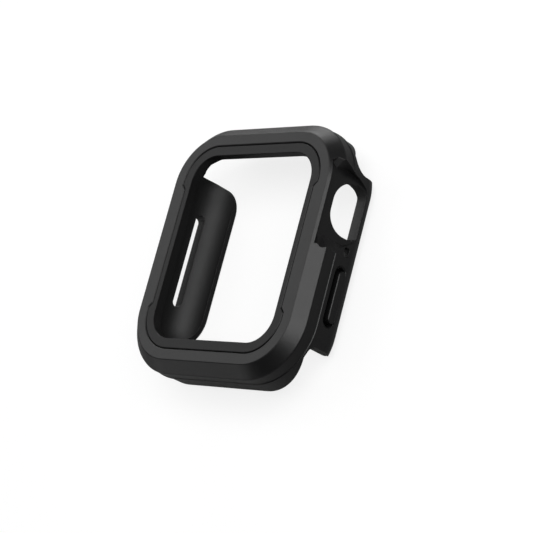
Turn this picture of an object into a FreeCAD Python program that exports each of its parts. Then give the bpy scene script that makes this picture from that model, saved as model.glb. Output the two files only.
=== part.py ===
"""Protective bumper case for a rounded rectangular watch.

A moulded frame wraps the watch from the side walls to the heel lips, a bezel
rim is trapped under the lip of its front face, and a side button travels in a
slot of the right wall. Millimetres, +Z out of the display, +X to the crown
side, +Y to twelve o'clock. The case lies on its heel, and the origin is the
centre of the box's bottom face.
"""
import FreeCAD, Part
import os
import Sketcher

App = FreeCAD
TOUCH = 1e-4

SIZES = (
    # Overall outline, taken where the case is widest
    ("case_width", 43.4), ("case_length", 49.4), ("case_depth", 12.5), ("corner_round", 11.7),
    # Front bevel, side band, bead and lower side face
    ("edge_bevel", 2.2), ("bevel_edge_break", 0.15), ("face_edge_break", 0.1),
    ("band_depth", 4.95), ("band_step", 0.3), ("end_step", 0.05), ("bead_proud", 0.15),
    ("bead_height", 0.35), ("bead_break", 0.1), ("heel_round", 3.4),
    # Space for the watch
    ("pocket_inset", 2.5), ("rim_depth", 1.9), ("heel_floor", 1.4), ("pocket_round", 5.5),
    ("heel_gap", 27.4), ("heel_corner_round", 5.8), ("lip_round", 0.5),
    # Seam between the frame's face and the rim
    ("seam_inset", 4.3), ("seam_side_inset", 5.08), ("step_gap", 0.5), ("step_run", 0.95),
    ("rim_width", 1.14), ("lip_depth", 1.0), ("flange_inset", 3.3), ("seam_gap", 0.13),
    ("seam_bevel", 0.16), ("rim_drop", 0.05), ("window_edge_round", 0.15),
    # Strap notches at both ends
    ("notch_place_share", 0.336), ("notch_round", 1.4), ("notch_end_depth", 8.9), ("notch_slope_run", 5.8),
    ("notch_depth", 5.4), ("crown_notch_depth", 6.0), ("crown_notch_round", 2.5),
    # Crown opening in the right wall: depths run down from the face, highs and lows from the crown's centre
    ("scoop_floor_tilt", 12.3), ("scoop_reach", 3.3), ("scoop_front", 0.5), ("scoop_mid_depth", 1.2),
    ("scoop_corner_depth", 2.05), ("scoop_band_depth", 4.7), ("scoop_waist_depth", 6.6),
    ("scoop_turn_depth", 8.15), ("scoop_back", 9.7),
    ("scoop_high_front", 8.6), ("scoop_high_mid", 10.34), ("scoop_high", 9.15), ("scoop_high_band", 6.55),
    ("scoop_high_waist", 6.15), ("scoop_high_turn", 5.35), ("scoop_high_end", 2.6),
    ("scoop_turn_round", 3.21), ("scoop_high_front_draft", 1.5), ("scoop_high_mid_draft", 3.63),
    ("scoop_high_draft", 3.64), ("scoop_high_band_undercut", 0.4),
    ("scoop_low_front", 9.75), ("scoop_low_mid", 10.96), ("scoop_low", 8.97), ("scoop_low_band", 8.97),
    ("scoop_low_turn", 5.95), ("scoop_low_end", 3.2), ("scoop_low_front_draft", 2.1),
    ("scoop_low_mid_draft", 6.53), ("scoop_low_draft", 4.28), ("scoop_low_band_draft", 5.45),
    ("crown_place_share", 0.1903), ("crown_front", 2.6), ("crown_back", 9.4), ("crown_high", 4.93),
    ("crown_low", 5.3), ("crown_round", 4.2), ("crown_high_round", 2.2), ("crown_low_round", 0.9),
    ("crown_relief_low", 5.4), ("crown_relief_run", 1.5),
    # Microphone hole
    ("mic_place_share", 0.0354), ("mic_centre_depth", 7.7), ("mic_length", 1.7), ("mic_height", 1.4),
    # Side button and its slot
    ("button_place_share", -0.1366), ("button_centre_depth", 8.0), ("button_length_share", 0.1984),
    ("button_height", 1.9), ("button_gap", 0.6), ("button_low_gap", 0.2), ("slot_bevel", 0.4),
    ("button_proud", 0.38), ("button_edge_round", 0.3), ("mouth_taper", 45.0), ("flange_lap", 0.6),
    ("flange_thick", 0.6), ("flange_play", 0.1), ("shoulder_wall", 1.3), ("nub_length", 6.0),
    ("nub_height", 1.4), ("nub_reach", 0.3),
    # Speaker slot in the left wall
    ("speaker_place", -0.2), ("speaker_centre_depth", 8.23), ("speaker_length_share", 0.3826),
    ("speaker_height", 1.83), ("speaker_tilt", 23.0),
    # One overrun serves every cut
    ("overrun", 2.0),
)


class Size:
    """A length together with the spreadsheet expression that drives it."""

    def __init__(self, text, value):
        self.text = text
        self.value = value

    @staticmethod
    def of(item):
        return item if isinstance(item, Size) else Size(repr(item), item)

    def __add__(self, other):
        other = Size.of(other)
        return Size(f"({self.text} + {other.text})", self.value + other.value)

    def __sub__(self, other):
        other = Size.of(other)
        return Size(f"({self.text} - {other.text})", self.value - other.value)

    def __mul__(self, factor):
        factor = Size.of(factor)
        return Size(f"({self.text} * {factor.text})", self.value * factor.value)

    def __truediv__(self, divisor):
        divisor = Size.of(divisor)
        return Size(f"({self.text} / {divisor.text})", self.value / divisor.value)

    def __neg__(self):
        return Size(f"(-{self.text})", -self.value)


class Sizes:
    """Gives each spreadsheet alias as a Size, and the sizes that follow from them."""

    def __init__(self, sheet):
        for row, (alias, value) in enumerate(SIZES, start=1):
            sheet.set(f"A{row}", alias)
            sheet.set(f"B{row}", str(value))
            sheet.setAlias(f"B{row}", alias)
            setattr(self, alias, Size(f"{sheet.Name}.{alias}", value))
        for alias in ("notch_place", "crown_place", "mic_place", "button_place", "button_length",
                      "speaker_length"):
            setattr(self, alias, self.case_length * getattr(self, f"{alias}_share"))
        self.window_inset = self.seam_side_inset + self.seam_gap + self.rim_width


def bind(item, path, size):
    """Set a property from a Size, so that it follows the sheet."""
    item.setExpression(path, Size.of(size).text)


def plane(body, role):
    return next(o for o in body.Origin.OriginFeatures if o.Role == role)


def new_sketch(body, name, role, height, tilt=None, shift=None):
    """Attach a sketch to an origin plane, lifted by a height along its normal."""
    sketch = body.newObject("Sketcher::SketchObject", name)
    sketch.AttachmentSupport = [(plane(body, role), "")]
    sketch.MapMode = "FlatFace"
    if tilt is not None:
        sketch.AttachmentOffset = App.Placement(App.Vector(), App.Rotation(App.Vector(1, 0, 0), 1))
        bind(sketch, "AttachmentOffset.Rotation.Angle", tilt)
    if shift is not None:
        bind(sketch, "AttachmentOffset.Base.x", shift[0])
        bind(sketch, "AttachmentOffset.Base.y", shift[1])
    bind(sketch, "AttachmentOffset.Base.z", height)
    return sketch


def arc_through(first, last, radius, turn):
    """Arc from first to last, counter-clockwise for turn 1 and clockwise for turn -1."""
    chord = last - first
    middle = (first + last) * 0.5
    side = App.Vector(-chord.y, chord.x, 0).normalize() * turn
    rise = max(radius ** 2 - chord.Length ** 2 / 4, 0) ** 0.5
    centre = middle + side * rise
    start, end = (first, last) if turn > 0 else (last, first)
    angles = [App.Vector(1, 0, 0).getAngle(p - centre) * (1 if p.y >= centre.y else -1)
              for p in (start, end)]
    return Part.ArcOfCircle(Part.Circle(centre, App.Vector(0, 0, 1), radius), *angles)


def outline(sketch, corners):
    """Closed outline: each corner is (x, y) or (x, y, radius, turn) where an arc starts there.

    Every corner's place and every arc's radius is a constraint that follows the sheet. A half
    circle, which ends above its start, has its centre placed instead of its radius.
    """
    base = sketch.GeometryCount
    count = len(corners)
    points = [App.Vector(c[0].value, c[1].value, 0) for c in corners]
    ends = []
    for index, corner in enumerate(corners):
        first, last = points[index], points[(index + 1) % count]
        if len(corner) == 2:
            sketch.addGeometry(Part.LineSegment(first, last))
            ends.append((1, 2))
        else:
            sketch.addGeometry(arc_through(first, last, corner[2].value, corner[3]))
            ends.append((1, 2) if corner[3] > 0 else (2, 1))
    for index in range(count):
        after = (index + 1) % count
        sketch.addConstraint(
            Sketcher.Constraint("Coincident", base + index, ends[index][1], base + after, ends[after][0]))
    for index, corner in enumerate(corners):
        edge, start = base + index, ends[index][0]
        for kind, size in (("DistanceX", corner[0]), ("DistanceY", corner[1])):
            place = sketch.addConstraint(Sketcher.Constraint(kind, -1, 1, edge, start, size.value))
            bind(sketch, f"Constraints[{place}]", size)
        if len(corner) == 4 and abs((points[(index + 1) % count] - points[index]).Length
                                    - corner[2].value * 2) < TOUCH:
            place = sketch.addConstraint(Sketcher.Constraint("DistanceX", -1, 1, edge, 3, corner[0].value))
            bind(sketch, f"Constraints[{place}]", corner[0])
        elif len(corner) == 4:
            place = sketch.addConstraint(Sketcher.Constraint("Radius", edge, corner[2].value))
            bind(sketch, f"Constraints[{place}]", corner[2])


def rounded_box(sketch, half_x, half_y, radius, centre=None):
    """Rectangle with round corners about a centre."""
    near_x, near_y = half_x - radius, half_y - radius
    corners = [
        (half_x, -near_y), (half_x, near_y, radius, 1), (near_x, half_y), (-near_x, half_y, radius, 1),
        (-half_x, near_y), (-half_x, -near_y, radius, 1), (-near_x, -half_y), (near_x, -half_y, radius, 1)]
    if centre is not None:
        corners = [(c[0] + centre[0], c[1] + centre[1], *c[2:]) for c in corners]
    outline(sketch, corners)


def pill(sketch, length, height, centre):
    """Slot outline with round ends, long along the sketch's x."""
    radius = height / 2
    near = length / 2 - radius
    corners = [
        (centre[0] - near, centre[1] - radius), (centre[0] + near, centre[1] - radius, radius, 1),
        (centre[0] + near, centre[1] + radius), (centre[0] - near, centre[1] + radius, radius, 1)]
    outline(sketch, corners)


def pad(body, name, sketch, length, reverse=False):
    feature = body.newObject("PartDesign::Pad", name)
    feature.Profile = sketch
    feature.Reversed = reverse
    bind(feature, "Length", length)
    return feature


def pocket(body, name, sketch, length, reverse=False, middle=False):
    feature = body.newObject("PartDesign::Pocket", name)
    feature.Profile = sketch
    feature.Reversed = reverse
    if middle:
        feature.SideType = "Symmetric"
    bind(feature, "Length", length)
    return feature


def dress(doc, body, kind, name, size, test):
    """Fillet or chamfer the edges of the body so far that a test on the edge picks."""
    doc.recompute()
    base = body.Tip
    names = [f"Edge{i}" for i, edge in enumerate(base.Shape.Edges, start=1) if test(edge)]
    if not names:
        failed = [o.Name for o in doc.Objects if "Invalid" in o.State or "Error" in o.State]
        raise RuntimeError(f"{name} found no edge, with these features failed: {failed}")
    feature = body.newObject(f"PartDesign::{kind}", name)
    feature.Base = (base, names)
    bind(feature, "Radius" if kind == "Fillet" else "Size", size)
    return feature


def level(edge, height):
    """Whether an edge lies flat at a height."""
    box = edge.BoundBox
    return abs(box.ZMin - height.value) < TOUCH and abs(box.ZMax - height.value) < TOUCH


def inside(edge, half_x, half_y, margin):
    """Whether an edge's box reaches no further out than two half sizes."""
    box = edge.BoundBox
    return (max(abs(box.XMin), abs(box.XMax)) < half_x.value + margin
            and max(abs(box.YMin), abs(box.YMax)) < half_y.value + margin)


def base_box(sketch, size, inset):
    """The case's outline drawn in by an inset: all its outlines share the corner centres."""
    rounded_box(sketch, size.case_width / 2 - inset, size.case_length / 2 - inset,
                size.corner_round - inset)


def seam_outline(sketch, size, gap):
    """Opening in the face: round corners, with a step inwards along each long side."""
    inset = size.seam_inset + gap
    half_x = size.case_width / 2 - inset
    half_y = size.case_length / 2 - inset
    radius = size.corner_round - inset
    side_x = size.case_width / 2 - size.seam_side_inset - gap
    far_y = half_y - radius
    step_y = far_y - size.step_gap
    low_y = step_y - size.step_run
    near_x = half_x - radius
    outline(sketch, [
        (side_x, -low_y), (side_x, low_y), (half_x, step_y), (half_x, far_y, radius, 1),
        (near_x, half_y), (-near_x, half_y, radius, 1), (-half_x, far_y), (-half_x, step_y),
        (-side_x, low_y), (-side_x, -low_y), (-half_x, -step_y), (-half_x, -far_y, radius, 1),
        (-near_x, -half_y), (near_x, -half_y, radius, 1), (half_x, -far_y), (half_x, -step_y)])


def frame_shell(doc, body, size):
    """Outer form: lower side face with its round heel, then the band with its bevel."""
    low = new_sketch(body, "lower_outline", "XY_Plane", Size.of(0))
    rounded_box(low, size.case_width / 2 - size.band_step, size.case_length / 2 - size.end_step,
                size.corner_round - size.band_step)
    pad(body, "lower_side", low, size.case_depth - size.band_depth)
    dress(doc, body, "Fillet", "heel", size.heel_round, lambda e: level(e, Size.of(0)))

    band = new_sketch(body, "band_outline", "XY_Plane", size.case_depth - size.band_depth)
    base_box(band, size, Size.of(0))
    pad(body, "band", band, size.band_depth)
    dress(doc, body, "Chamfer", "front_bevel", size.edge_bevel, lambda e: level(e, size.case_depth))
    dress(doc, body, "Chamfer", "face_edge", size.face_edge_break, lambda e: level(e, size.case_depth))
    dress(doc, body, "Chamfer", "bevel_edge", size.bevel_edge_break,
          lambda e: level(e, size.case_depth - size.edge_bevel))

    bead = new_sketch(body, "bead_outline", "XY_Plane", size.case_depth - size.band_depth)
    base_box(bead, size, -size.bead_proud)
    pad(body, "bead", bead, size.bead_height)
    low = size.case_depth - size.band_depth
    dress(doc, body, "Chamfer", "bead_edges", size.bead_break,
          lambda e: (level(e, low) or level(e, low + size.bead_height)) and not inside(
              e, size.case_width / 2, size.case_length / 2, TOUCH))


def frame_pocket(doc, body, size):
    """Opening in the face, the seat of the rim and the space for the watch."""
    seam = new_sketch(body, "seam_outline", "XY_Plane", size.case_depth)
    seam_outline(seam, size, Size.of(0))
    pocket(body, "face_opening", seam, size.lip_depth)
    dress(doc, body, "Chamfer", "seam_edge", size.seam_bevel,
          lambda e: level(e, size.case_depth) and inside(
              e, size.case_width / 2 - size.seam_inset, size.case_length / 2 - size.seam_inset, TOUCH))

    seat = new_sketch(body, "seat_outline", "XY_Plane", size.case_depth - size.lip_depth)
    base_box(seat, size, size.flange_inset)
    pocket(body, "rim_seat", seat, size.rim_depth - size.lip_depth)

    watch = new_sketch(body, "watch_outline", "XY_Plane", size.case_depth - size.rim_depth)
    base_box(watch, size, size.pocket_inset)
    pocket(body, "watch_space", watch, size.case_depth - size.rim_depth - size.heel_floor)
    dress(doc, body, "Fillet", "watch_space_round", size.pocket_round, lambda e: level(e, size.heel_floor))


def frame_heel_opening(doc, body, size):
    """Opening between the heel lips, wider behind the crown."""
    half_gap = size.heel_gap / 2
    radius = size.heel_corner_round
    wide = half_gap + radius
    turn_y = size.notch_place - radius
    end_y = size.notch_place
    far_y = size.notch_place + size.notch_round
    inner = size.case_width / 2 - size.pocket_inset
    relief = size.crown_place - size.crown_relief_low
    turn = inner - half_gap
    corner_y = size.case_length / 2 - size.corner_round
    back = new_sketch(body, "heel_opening_outline", "XY_Plane", Size.of(0))
    outline(back, [
        (half_gap, -turn_y), (half_gap, relief - turn, turn, -1), (inner, relief), (inner, corner_y),
        (inner - size.crown_relief_run, far_y),
        (-wide, far_y), (-wide, end_y, radius, -1), (-half_gap, turn_y), (-half_gap, -turn_y, radius, -1),
        (-wide, -end_y), (-wide, -far_y), (wide, -far_y), (wide, -end_y, radius, -1)])
    pocket(body, "heel_opening", back, size.heel_floor + size.pocket_round, reverse=True)
    dress(doc, body, "Fillet", "lip_edge", size.lip_round,
          lambda e: level(e, Size.of(0)) and inside(e, wide, end_y, TOUCH))


def frame_notches(doc, body, size):
    """Notch for the strap at each end: one slope down outwards, under a roof that is lower by the crown."""
    slope = (size.notch_end_depth - size.notch_depth) / size.notch_slope_run
    out_y = size.case_length / 2 + size.overrun
    out_z = size.case_depth - size.notch_end_depth - slope * size.overrun
    for name, end, side, depth, turn in (
            ("upper_left", 1, -1, size.notch_depth, size.notch_round),
            ("upper_right", 1, 1, size.crown_notch_depth, size.crown_notch_round),
            ("lower_left", -1, -1, size.notch_depth, size.notch_round),
            ("lower_right", -1, 1, size.notch_depth, size.notch_round)):
        roof = size.case_depth - depth
        start = size.case_length / 2 - (size.notch_end_depth - depth) / slope
        sketch = new_sketch(body, f"{name}_notch_outline", "YZ_Plane", Size.of(0))
        corners = [
            (size.notch_place, -size.overrun),
            (size.notch_place, roof - turn, turn, -end), (size.notch_place + turn, roof),
            (start, roof), (out_y, out_z),
            (out_y, -size.overrun)]
        outline(sketch, [(c[0] * end, *c[1:]) for c in corners])
        pocket(body, f"{name}_notch", sketch, size.case_width, reverse=side > 0)


def make_scoop_tool(doc, size):
    """Cutter for the crown's finger scoop: sloping ends, and a floor that follows the outline.

    The floor leans outwards as it goes down, and meets the lower side face at the scoop's back.
    """
    body = doc.addObject("PartDesign::Body", "scoop_tool")
    mouth = size.case_width / 2
    front = size.case_depth - size.scoop_front
    mid = size.case_depth - size.scoop_mid_depth
    corner = size.case_depth - size.scoop_corner_depth
    band = size.case_depth - size.scoop_band_depth
    waist = size.case_depth - size.scoop_waist_depth
    turn = size.case_depth - size.scoop_turn_depth
    back = size.case_depth - size.scoop_back
    sections = []
    for name, place, share in (("scoop_deep", mouth - size.scoop_reach, 1), ("scoop_mouth", mouth, 0),
                               ("scoop_outside", mouth + size.overrun, 0)):
        sketch = new_sketch(body, name, "YZ_Plane", place)
        corners = [
            (-size.scoop_low_front + size.scoop_low_front_draft * share, front),
            (-size.scoop_low_mid + size.scoop_low_mid_draft * share, mid),
            (-size.scoop_low + size.scoop_low_draft * share, corner),
            (-size.scoop_low_band + size.scoop_low_band_draft * share, band),
            (-size.scoop_low_turn, turn, size.scoop_turn_round, 1), (-size.scoop_low_end, back),
            (size.scoop_high_end, back, size.scoop_turn_round, 1), (size.scoop_high_turn, turn),
            (size.scoop_high_waist, waist),
            (size.scoop_high_band + size.scoop_high_band_undercut * share, band),
            (size.scoop_high - size.scoop_high_draft * share, corner),
            (size.scoop_high_mid - size.scoop_high_mid_draft * share, mid),
            (size.scoop_high_front - size.scoop_high_front_draft * share, front)]
        outline(sketch, [(size.crown_place + c[0], *c[1:]) for c in corners])
        sections.append(sketch)
    scoop = body.newObject("PartDesign::AdditiveLoft", "scoop_form")
    scoop.Profile = sections[0]
    scoop.Sections = sections[1:]
    scoop.Ruled = True
    core = new_sketch(body, "scoop_floor_outline", "XY_Plane", back)
    base_box(core, size, size.band_step)
    floor = pocket(body, "scoop_floor", core, size.scoop_back, reverse=True)
    bind(floor, "TaperAngle", -size.scoop_floor_tilt)
    return body


def frame_scoop(doc, body, size):
    """Cut the finger scoop."""
    scoop = body.newObject("PartDesign::Boolean", "crown_scoop")
    scoop.Type = "Cut"
    scoop.addObjects([make_scoop_tool(doc, size)])


def frame_crown_hole(doc, body, size):
    """Hole for the crown in the scoop's floor: round in front, tighter at the back."""
    low = size.crown_place - size.crown_low
    high = size.crown_place + size.crown_high
    front = size.case_depth - size.crown_front
    back = size.case_depth - size.crown_back
    wide = size.crown_round
    tight = size.crown_low_round
    loose = size.crown_high_round
    hole = new_sketch(body, "crown_hole_outline", "YZ_Plane", size.case_width / 2 + size.overrun)
    outline(hole, [
        (high, back + loose), (high, front - wide, wide, 1), (high - wide, front),
        (low + wide, front, wide, 1), (low, front - wide), (low, back + tight, tight, 1),
        (low + tight, back), (high - loose, back, loose, 1)])
    pocket(body, "crown_hole", hole, size.pocket_inset + size.overrun * 2)


def button_slot(size):
    """Length, height and centre of the button's slot, which is close to the cap on its heel side."""
    height = size.button_height + size.button_gap + size.button_low_gap
    rise = (size.button_gap - size.button_low_gap) / 2
    return (size.button_length + size.button_gap * 2, height,
            (size.button_place, size.case_depth - size.button_centre_depth + rise))


def frame_side_holes(doc, body, size):
    """Microphone hole, button slot with its shoulder, and the tilted speaker slot."""
    mic = new_sketch(body, "mic_outline", "YZ_Plane", size.case_width / 2 + size.overrun)
    rounded_box(mic, size.mic_length / 2, size.mic_height / 2, size.mic_height / 4,
                (size.mic_place, size.case_depth - size.mic_centre_depth))
    pocket(body, "mic_hole", mic, size.pocket_inset + size.pocket_round)

    slot_length, slot_height, slot_centre = button_slot(size)
    slot = new_sketch(body, "button_slot_outline", "YZ_Plane", size.case_width / 2 + size.overrun)
    pill(slot, slot_length, slot_height, slot_centre)
    pocket(body, "button_slot", slot, size.pocket_inset + size.pocket_round)
    wall_face = size.case_width / 2 - size.band_step
    mouth = new_sketch(body, "button_mouth_outline", "YZ_Plane", wall_face)
    pill(mouth, slot_length + size.slot_bevel * 2, slot_height + size.slot_bevel,
         (slot_centre[0], slot_centre[1] + size.slot_bevel / 2))
    bevel = pocket(body, "button_mouth", mouth, size.slot_bevel)
    bind(bevel, "TaperAngle", -size.mouth_taper)

    shoulder = wall_face - size.shoulder_wall
    lap = size.flange_lap * 2 + size.flange_play * 2
    seat = new_sketch(body, "button_seat_outline", "YZ_Plane", shoulder)
    pill(seat, slot_length + lap, slot_height + lap, slot_centre)
    pocket(body, "button_seat", seat, size.pocket_round)

    middle = size.case_width / 2 - size.pocket_inset
    speaker = new_sketch(body, "speaker_outline", "YZ_Plane", -middle, -size.speaker_tilt,
                         (size.speaker_place, size.case_depth - size.speaker_centre_depth))
    pill(speaker, size.speaker_length, size.speaker_height, (Size.of(0), Size.of(0)))
    pocket(body, "speaker_slot", speaker, size.pocket_inset * 4, middle=True)


def make_frame(doc, size):
    """The moulded bumper frame."""
    body = doc.addObject("PartDesign::Body", "bumper_frame")
    frame_shell(doc, body, size)
    frame_pocket(doc, body, size)
    frame_heel_opening(doc, body, size)
    frame_notches(doc, body, size)
    frame_scoop(doc, body, size)
    frame_crown_hole(doc, body, size)
    frame_side_holes(doc, body, size)
    return body


def make_rim(doc, size):
    """The bezel rim: a ring that shows in the face, on a flange under the frame's lip."""
    body = doc.addObject("PartDesign::Body", "bezel_rim")
    under = size.case_depth - size.rim_depth
    flange = new_sketch(body, "flange_outline", "XY_Plane", under)
    base_box(flange, size, size.flange_inset + size.seam_gap)
    pad(body, "flange", flange, size.rim_depth - size.lip_depth)
    ring = new_sketch(body, "ring_outline", "XY_Plane", under)
    seam_outline(ring, size, size.seam_gap)
    pad(body, "ring", ring, size.rim_depth - size.rim_drop)
    window = new_sketch(body, "window_outline", "XY_Plane", under)
    base_box(window, size, size.window_inset)
    pocket(body, "window", window, size.rim_depth, reverse=True)
    top = size.case_depth - size.rim_drop
    half_x = size.case_width / 2 - size.window_inset
    half_y = size.case_length / 2 - size.window_inset
    dress(doc, body, "Fillet", "window_edge", size.window_edge_round,
          lambda e: level(e, top) and inside(e, half_x, half_y, TOUCH))
    dress(doc, body, "Chamfer", "ring_edge", size.seam_bevel - size.rim_drop / 2,
          lambda e: level(e, top) and not inside(e, half_x + size.window_edge_round,
                                                 half_y + size.window_edge_round, TOUCH))
    return body


def make_button(doc, size):
    """The side button: cap, retaining flange and the nub that meets the watch's own button."""
    body = doc.addObject("PartDesign::Body", "side_button")
    centre = (size.button_place, size.case_depth - size.button_centre_depth)
    wall_face = size.case_width / 2 - size.band_step
    flange_top = wall_face - size.shoulder_wall - size.flange_play
    flange_under = flange_top - size.flange_thick
    slot_length, slot_height, slot_centre = button_slot(size)
    lap = size.flange_lap * 2
    flange = new_sketch(body, "flange_outline", "YZ_Plane", flange_under)
    pill(flange, slot_length + lap, slot_height + lap, slot_centre)
    pad(body, "flange", flange, size.flange_thick)
    cap = new_sketch(body, "cap_outline", "YZ_Plane", flange_under)
    pill(cap, size.button_length, size.button_height, centre)
    pad(body, "cap", cap, wall_face + size.button_proud - flange_under)
    face = wall_face + size.button_proud
    dress(doc, body, "Fillet", "cap_edge", size.button_edge_round,
          lambda e: abs(e.BoundBox.XMin - face.value) < TOUCH)
    nub = new_sketch(body, "nub_outline", "YZ_Plane", flange_under)
    pill(nub, size.nub_length, size.nub_height, centre)
    pad(body, "nub", nub, size.nub_reach, reverse=True)
    return body


def check(doc, bodies):
    """Stop if anything failed, before a file is written."""
    for item in doc.Objects:
        if "Invalid" in item.State or "Error" in item.State:
            raise RuntimeError(f"{item.Name} failed: {item.State}")
    for body in bodies:
        shape = body.Shape
        if shape.isNull() or not shape.isValid() or len(shape.Solids) != 1:
            raise RuntimeError(f"{body.Label} is not one valid solid")
        box = shape.BoundBox
        print(f"{body.Label}: {shape.Volume:.1f} mm3, x {box.XMin:.2f} to {box.XMax:.2f}, "
              f"y {box.YMin:.2f} to {box.YMax:.2f}, z {box.ZMin:.2f} to {box.ZMax:.2f}")


def main():
    doc = App.newDocument("watch_case")
    sheet = doc.addObject("Spreadsheet::Sheet", "sizes")
    size = Sizes(sheet)
    doc.recompute()
    bodies = [make_frame(doc, size), make_rim(doc, size), make_button(doc, size)]
    doc.recompute()
    check(doc, bodies)
    os.makedirs("parts", exist_ok=True)
    for body in bodies:
        body.Shape.exportStep(f"parts/{body.Label}.step")


main()
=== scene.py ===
"""Dresses the bumper case and sets it in a plain studio.

The three moulded pieces keep the shapes that the frame gives them. This script gives each one its
moulded plastic, a fine spark-eroded grain with softened edges, and lays the case on a pale floor
under soft lamps, seen from over its crown side.
"""
from __future__ import annotations

import logging
import math
from dataclasses import dataclass
from enum import Enum
from typing import TypeAlias

import bpy
import numpy as np
from mathutils import Matrix, Vector


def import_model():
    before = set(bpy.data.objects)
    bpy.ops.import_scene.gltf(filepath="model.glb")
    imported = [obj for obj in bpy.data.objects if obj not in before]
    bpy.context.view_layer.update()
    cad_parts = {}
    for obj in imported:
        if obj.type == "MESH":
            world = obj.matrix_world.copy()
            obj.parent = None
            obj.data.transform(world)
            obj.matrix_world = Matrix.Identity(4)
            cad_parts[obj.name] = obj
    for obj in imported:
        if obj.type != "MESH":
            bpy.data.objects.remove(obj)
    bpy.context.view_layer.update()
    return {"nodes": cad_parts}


Colour: TypeAlias = tuple[float, float, float]
Feed: TypeAlias = "bpy.types.NodeSocket | float | tuple[float, ...]"

log = logging.getLogger("bumper_case")

MM = 0.001
OPAQUE = 1.0
UNCHANGED = 1.0
WHITE: Colour = (1.0, 1.0, 1.0)
# Keeps the X and Y of a place and drops its height
LEVEL = (1.0, 1.0, 0.0)


class Piece(Enum):
    """The moulded pieces of the case, by the names that the frame gives them."""

    FRAME = "bumper_frame"
    RIM = "bezel_rim"
    BUTTON = "side_button"


class Socket(Enum):
    """Kinds of sockets that the shader group is made with."""

    VALUE = "NodeSocketFloat"
    VECTOR = "NodeSocketVector"


def direction(azimuth: float, elevation: float) -> Vector:
    """Unit vector away from the case, by the angles that the views use.

    Azimuth 0 points along -Y and 90 along +X, and elevation is above the floor:
    (sin a cos e, -cos a cos e, sin e).

    Args:
        azimuth: Turn about Z in degrees.
        elevation: Angle above the floor in degrees.

    Returns:
        The unit vector.
    """
    a, e = math.radians(azimuth), math.radians(elevation)
    return Vector((math.sin(a) * math.cos(e), -math.cos(a) * math.cos(e), math.sin(e)))


def facing(place: Vector, target: Vector, roll: float = 0.0) -> Matrix:
    """Placement of a camera or lamp that looks from a place at a target.

    Args:
        place: Where it stands.
        target: What it looks at.
        roll: Turn about the line of sight in degrees, counter-clockwise as it looks.

    Returns:
        The object's world matrix.
    """
    look = (target - place).to_track_quat("-Z", "Y").to_matrix().to_4x4()
    return Matrix.Translation(place) @ look @ Matrix.Rotation(math.radians(roll), 4, "Z")


def add_object(name: str, data: bpy.types.ID) -> bpy.types.Object:
    """Puts a mesh, lamp or camera into the scene.

    Args:
        name: The object's name.
        data: What it shows.

    Returns:
        The object.
    """
    thing = bpy.data.objects.new(name, data)
    bpy.context.scene.collection.objects.link(thing)
    return thing


def add_node(tree: bpy.types.NodeTree, kind: str, feeds: dict[str | int, Feed] | None = None,
             **settings: str | int) -> bpy.types.Node:
    """Adds a node to a tree.

    Args:
        tree: The tree that takes it.
        kind: The node's type.
        feeds: What its inputs get, by name or number: a socket to join, or a value.
        settings: The node's own settings, such as its operation.

    Returns:
        The node.
    """
    node = tree.nodes.new(kind)
    for name, value in settings.items():
        setattr(node, name, value)
    for key, value in (feeds or {}).items():
        if isinstance(value, bpy.types.NodeSocket):
            tree.links.new(value, node.inputs[key])
        else:
            node.inputs[key].default_value = value
    return node


def work_out(tree: bpy.types.NodeTree, operation: str, *values: Feed) -> bpy.types.NodeSocket:
    """Adds a maths node.

    Args:
        tree: The tree that takes it.
        operation: What it works out.
        values: Its inputs in order, each a socket or a number.

    Returns:
        Its result.
    """
    return add_node(tree, "ShaderNodeMath", dict(enumerate(values)), operation=operation).outputs[0]


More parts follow.
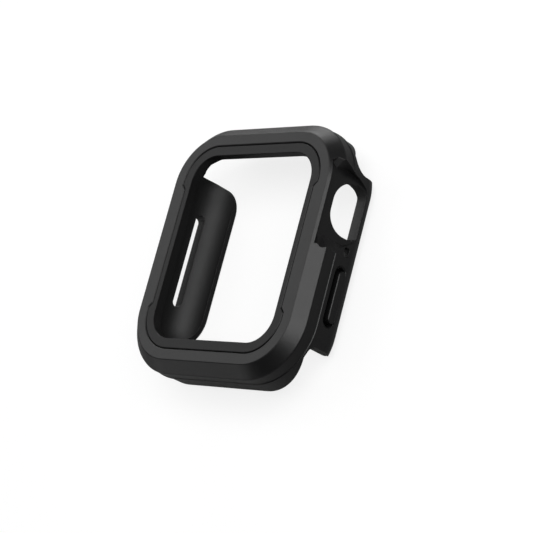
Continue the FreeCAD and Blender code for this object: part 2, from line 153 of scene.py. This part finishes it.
@dataclass(frozen=True)
class Grain:
    """Shader group for a moulded surface: fine grain, faint flow marks and softened edges.

    An edge counts as worn by the cosine of the turn between the flat face and its softened normal:
    not at all at edge_starts, and in full at edge_full.

    Faces that look inwards come off a coarser core and are more matt. They are found by
    x nx + y ny, the normal's share along the way out from the case's middle: below zero a face
    looks inwards, and it counts in full at inside_reach, in metres.
    """

    name: str = "moulded_grain"
    inputs: tuple[str, ...] = ("Grains per metre", "Grain depth", "Marks per metre", "Roughness",
                               "Roughness spread", "Inside roughness", "Tone spread",
                               "Edge radius", "Edge polish")
    grain_detail: float = 2.0
    grain_harshness: float = 0.6
    marks_detail: float = 3.0
    noise_middle: float = 0.5
    edge_samples: int = 6
    edge_starts: float = 0.985
    edge_full: float = 0.75
    inside_reach: float = -0.002

    def build(self) -> bpy.types.NodeTree:
        """Makes the group, or gives the one already made.

        Returns:
            The node group. It puts out a tone that darkens or lightens the colour, a roughness and
            a normal.
        """
        made = bpy.data.node_groups.get(self.name)
        if made is not None:
            return made
        tree = bpy.data.node_groups.new(self.name, "ShaderNodeTree")
        for name in self.inputs:
            tree.interface.new_socket(name, in_out="INPUT", socket_type=Socket.VALUE.value)
        for name, kind in (("Tone", Socket.VALUE), ("Roughness", Socket.VALUE),
                           ("Normal", Socket.VECTOR)):
            tree.interface.new_socket(name, in_out="OUTPUT", socket_type=kind.value)
        self._wire(tree)
        return tree

    def _wire(self, tree: bpy.types.NodeTree) -> None:
        """Places and joins the group's nodes.

        Args:
            tree: The empty group.
        """
        given = add_node(tree, "NodeGroupInput").outputs
        spot = add_node(tree, "ShaderNodeTexCoord").outputs
        grain = add_node(tree, "ShaderNodeTexNoise", {
            "Vector": spot["Object"], "Scale": given["Grains per metre"],
            "Detail": self.grain_detail, "Roughness": self.grain_harshness}).outputs["Fac"]
        marks = add_node(tree, "ShaderNodeTexNoise", {
            "Vector": spot["Object"], "Scale": given["Marks per metre"],
            "Detail": self.marks_detail}).outputs["Fac"]
        edge = add_node(tree, "ShaderNodeBevel", {"Radius": given["Edge radius"]},
                        samples=self.edge_samples).outputs["Normal"]
        bump = add_node(tree, "ShaderNodeBump", {
            "Height": grain, "Distance": given["Grain depth"], "Normal": edge})

        cloud = work_out(tree, "SUBTRACT", marks, self.noise_middle)
        shell = work_out(tree, "MULTIPLY_ADD", cloud, given["Roughness spread"],
                         given["Roughness"])
        rough = work_out(tree, "MULTIPLY_ADD", self._inside(tree, spot),
                         given["Inside roughness"], shell)
        polished = work_out(tree, "MULTIPLY", self._worn(tree, edge), given["Edge polish"])

        tone = work_out(tree, "MULTIPLY_ADD", cloud, given["Tone spread"], UNCHANGED)
        speck = work_out(tree, "SUBTRACT", grain, self.noise_middle)
        add_node(tree, "NodeGroupOutput", {
            "Tone": work_out(tree, "MULTIPLY_ADD", speck, given["Tone spread"], tone),
            "Roughness": work_out(tree, "SUBTRACT", rough, polished),
            "Normal": bump.outputs["Normal"]})

    def _worn(self, tree: bpy.types.NodeTree, edge: bpy.types.NodeSocket
              ) -> bpy.types.NodeSocket:
        """Adds the mask of the edges.

        Args:
            tree: The group.
            edge: The softened normal.

        Returns:
            A socket that rises from 0 on a flat face to 1 on a sharp edge.
        """
        flat = add_node(tree, "ShaderNodeNewGeometry").outputs["Normal"]
        turn = add_node(tree, "ShaderNodeVectorMath", {0: edge, 1: flat}, operation="DOT_PRODUCT")
        return self._ramp(tree, turn.outputs["Value"], self.edge_starts, self.edge_full)

    def _inside(self, tree: bpy.types.NodeTree, spot: bpy.types.bpy_prop_collection
                ) -> bpy.types.NodeSocket:
        """Adds the mask of the faces that look inwards.

        Args:
            tree: The group.
            spot: The outputs of the texture coordinate node.

        Returns:
            A socket that is 1 on a face that looks inwards and 0 on the rest.
        """
        level = add_node(tree, "ShaderNodeVectorMath", {0: spot["Object"], 1: LEVEL},
                         operation="MULTIPLY")
        outward = add_node(tree, "ShaderNodeVectorMath",
                           {0: level.outputs["Vector"], 1: spot["Normal"]},
                           operation="DOT_PRODUCT")
        return self._ramp(tree, outward.outputs["Value"], 0.0, self.inside_reach)

    @staticmethod
    def _ramp(tree: bpy.types.NodeTree, value: bpy.types.NodeSocket, none: float, full: float
              ) -> bpy.types.NodeSocket:
        """Adds a straight ramp from 0 to 1.

        Args:
            tree: The group.
            value: What the ramp reads.
            none: The value at which it is 0.
            full: The value at which it is 1.

        Returns:
            The ramp's result.
        """
        return add_node(tree, "ShaderNodeMapRange", {
            "Value": value, "From Min": none, "From Max": full}).outputs["Result"]


@dataclass(frozen=True)
class MouldedPlastic:
    """Black moulded plastic. Lengths are in metres and colours are linear."""

    name: str
    colour: Colour
    roughness: float
    inside_roughness: float = 0.0
    roughness_spread: float = 0.06
    tone_spread: float = 0.16
    grains_per_metre: float = 9000.0
    grain_depth: float = 0.00002
    marks_per_metre: float = 130.0
    edge_radius: float = 0.00009
    edge_polish: float = 0.08
    specular: float = 0.5

    def build(self) -> bpy.types.Material:
        """Makes the material.

        Returns:
            The material, with a Principled shader fed by the grain group.
        """
        material = bpy.data.materials.new(self.name)
        material.use_nodes = True
        material.diffuse_color = (*self.colour, OPAQUE)
        tree = material.node_tree
        grain = tree.nodes.new("ShaderNodeGroup")
        grain.node_tree = Grain().build()
        for name, value in (
                ("Grains per metre", self.grains_per_metre), ("Grain depth", self.grain_depth),
                ("Marks per metre", self.marks_per_metre), ("Roughness", self.roughness),
                ("Roughness spread", self.roughness_spread),
                ("Inside roughness", self.inside_roughness), ("Tone spread", self.tone_spread),
                ("Edge radius", self.edge_radius), ("Edge polish", self.edge_polish)):
            grain.inputs[name].default_value = value
        tint = add_node(tree, "ShaderNodeVectorMath",
                        {0: self.colour, "Scale": grain.outputs["Tone"]}, operation="SCALE")

        shader = tree.nodes["Principled BSDF"]
        shader.inputs["Specular IOR Level"].default_value = self.specular
        tree.links.new(tint.outputs["Vector"], shader.inputs["Base Color"])
        tree.links.new(grain.outputs["Roughness"], shader.inputs["Roughness"])
        tree.links.new(grain.outputs["Normal"], shader.inputs["Normal"])
        return material


@dataclass(frozen=True)
class MouldedCase:
    """The case's three moulded pieces and their finishes."""

    frame_finish: MouldedPlastic = MouldedPlastic(
        "frame_plastic", (0.0056, 0.0056, 0.0058), 0.35, inside_roughness=0.17)
    rim_finish: MouldedPlastic = MouldedPlastic(
        "rim_plastic", (0.0050, 0.0050, 0.0052), 0.40, specular=0.32)
    button_finish: MouldedPlastic = MouldedPlastic(
        "button_plastic", (0.0050, 0.0050, 0.0052), 0.38, grain_depth=0.00001)

    def dress(self, nodes: dict[str, bpy.types.Object]) -> None:
        """Gives every piece its finish.

        Args:
            nodes: The frame's pieces by name.
        """
        for piece, finish in ((Piece.FRAME, self.frame_finish), (Piece.RIM, self.rim_finish),
                              (Piece.BUTTON, self.button_finish)):
            shape = nodes[piece.value]
            material = finish.build()
            for holder in shape.material_slots:
                holder.material = material
            log.info("%s: %s, %d faces", shape.name, finish.name, len(shape.data.polygons))


@dataclass(frozen=True)
class Lamp:
    """A soft square lamp, aimed at the case from far off.

    The angles are in degrees and the lengths in metres. The level is the brightness that its face
    shows, which an area lamp gives at a power of level times side squared times pi.
    """

    name: str
    azimuth: float
    elevation: float
    side: float
    level: float
    distance: float = 0.6

    def build(self, target: Vector) -> None:
        """Hangs the lamp.

        Args:
            target: What it is aimed at.
        """
        data = bpy.data.lights.new(self.name, "AREA")
        data.shape = "SQUARE"
        data.size = self.side
        data.energy = self.level * self.side ** 2 * math.pi
        away = direction(self.azimuth, self.elevation) * self.distance
        add_object(self.name, data).matrix_world = facing(target + away, target)


def background_rays(tree: bpy.types.NodeTree) -> bpy.types.NodeSocket:
    """Tells the rays that show the background, straight or through something clear.

    Args:
        tree: The floor's or the world's nodes.

    Returns:
        A socket that is 1 for a camera ray or a transmission ray, and 0 for the rest.
    """
    path = add_node(tree, "ShaderNodeLightPath").outputs
    return work_out(tree, "MAXIMUM", path["Is Camera Ray"], path["Is Transmission Ray"])


@dataclass(frozen=True)
class Floor:
    """The pale floor. Lengths are in metres."""

    reach: float = 3.0
    rings: int = 5
    turns: int = 64
    colour: Colour = (0.26, 0.26, 0.26)
    glow: float = 0.79

    def build(self) -> None:
        """Lays the floor: a wide disc whose points are r (cos t, sin t, 0)."""
        rings = np.linspace(0.0, 1.0, self.rings + 1)[1:] * self.reach
        turns = np.linspace(0.0, 2.0 * math.pi, self.turns, endpoint=False)
        radius, turn = np.meshgrid(rings, turns, indexing="ij")
        points = np.stack([radius * np.cos(turn), radius * np.sin(turn), np.zeros_like(turn)], -1)
        near = np.arange(radius.size).reshape(radius.shape)
        after = np.roll(near, -1, axis=1)
        faces = np.stack([near[:-1], near[1:], after[1:], after[:-1]], -1).reshape(-1, 4).tolist()
        faces.append(near[0].tolist())
        mesh = bpy.data.meshes.new("floor")
        mesh.from_pydata(points.reshape(-1, 3).tolist(), [], faces)
        mesh.update()
        mesh.materials.append(self._paint())
        add_object("floor", mesh)

    def _paint(self) -> bpy.types.Material:
        """Makes the floor's paint.

        It is pale grey, and the camera sees a glow added to it, which leaves only the shadow grey.

        Returns:
            The material.
        """
        material = bpy.data.materials.new("pale_floor")
        material.use_nodes = True
        tree = material.node_tree
        tree.nodes.clear()
        paint = add_node(tree, "ShaderNodeBsdfDiffuse",
                         {"Color": (*self.colour, OPAQUE)}).outputs["BSDF"]
        glow = add_node(tree, "ShaderNodeEmission", {"Strength": self.glow}).outputs["Emission"]
        both = add_node(tree, "ShaderNodeAddShader", {0: paint, 1: glow}).outputs["Shader"]
        mix = add_node(tree, "ShaderNodeMixShader",
                       {"Fac": background_rays(tree), 1: paint, 2: both})
        add_node(tree, "ShaderNodeOutputMaterial", {"Surface": mix.outputs["Shader"]})
        return material


@dataclass(frozen=True)
class Room:
    """The even light of the room, and the white that the camera sees behind the floor."""

    level: float = 0.04
    backdrop_level: float = 1.0

    def build(self) -> None:
        """Makes the world."""
        world = bpy.data.worlds.new("studio")
        bpy.context.scene.world = world
        world.use_nodes = True
        tree = world.node_tree
        tree.nodes.clear()
        room, backdrop = (add_node(tree, "ShaderNodeBackground", {
            "Color": (*WHITE, OPAQUE), "Strength": level}).outputs["Background"]
            for level in (self.level, self.backdrop_level))
        mix = add_node(tree, "ShaderNodeMixShader",
                       {"Fac": background_rays(tree), 1: room, 2: backdrop})
        add_node(tree, "ShaderNodeOutputWorld", {"Surface": mix.outputs["Shader"]})


@dataclass(frozen=True)
class Camera:
    """The camera, over the crown side. Angles are in degrees and lengths in millimetres."""

    azimuth: float = 70.11
    elevation: float = 43.07
    roll: float = -61.14
    distance: float = 319.24
    aim: tuple[float, float, float] = (4.19, -1.70, 6.25)
    lens: float = 116.8
    sensor: float = 36.0
    nearest: float = 10.0
    farthest: float = 20000.0

    def build(self) -> None:
        """Stands the camera in the scene."""
        data = bpy.data.cameras.new("camera")
        data.sensor_width = self.sensor
        data.lens = self.lens
        data.clip_start, data.clip_end = self.nearest * MM, self.farthest * MM
        aim = Vector(self.aim) * MM
        away = direction(self.azimuth, self.elevation) * (self.distance * MM)
        camera = add_object("camera", data)
        camera.matrix_world = facing(aim + away, aim, self.roll)
        bpy.context.scene.camera = camera


@dataclass(frozen=True)
class Studio:
    """Pale floor, soft lamps and the camera."""

    floor: Floor = Floor()
    room: Room = Room()
    lamps: tuple[Lamp, ...] = (
        Lamp("key_softbox", 96.0, 53.0, 0.56, 3.0),
        Lamp("top_softbox", 172.0, 72.0, 0.40, 1.0),
        Lamp("back_softbox", 250.0, 44.0, 0.50, 1.2),
        Lamp("low_back_softbox", 206.0, 5.0, 0.30, 5.6),
        Lamp("low_left_softbox", 312.0, 13.0, 0.35, 0.62),
    )
    camera: Camera = Camera()

    def build(self) -> None:
        """Sets up the floor, the room, the lamps and the camera."""
        self.floor.build()
        self.room.build()
        for lamp in self.lamps:
            lamp.build(Vector((0.0, 0.0, 0.0)))
        self.camera.build()
        log.info("studio: %d lamps, view from %.0f, %.0f degrees", len(self.lamps),
                 self.camera.azimuth, self.camera.elevation)


def main() -> None:
    """Loads the frame, dresses the case and sets up the studio."""
    logging.basicConfig(level=logging.INFO, format="%(name)s: %(message)s")
    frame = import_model()
    MouldedCase().dress(frame["nodes"])
    Studio().build()
    bpy.context.scene.view_settings.view_transform = "Standard"


if __name__ == "__main__":
    main()
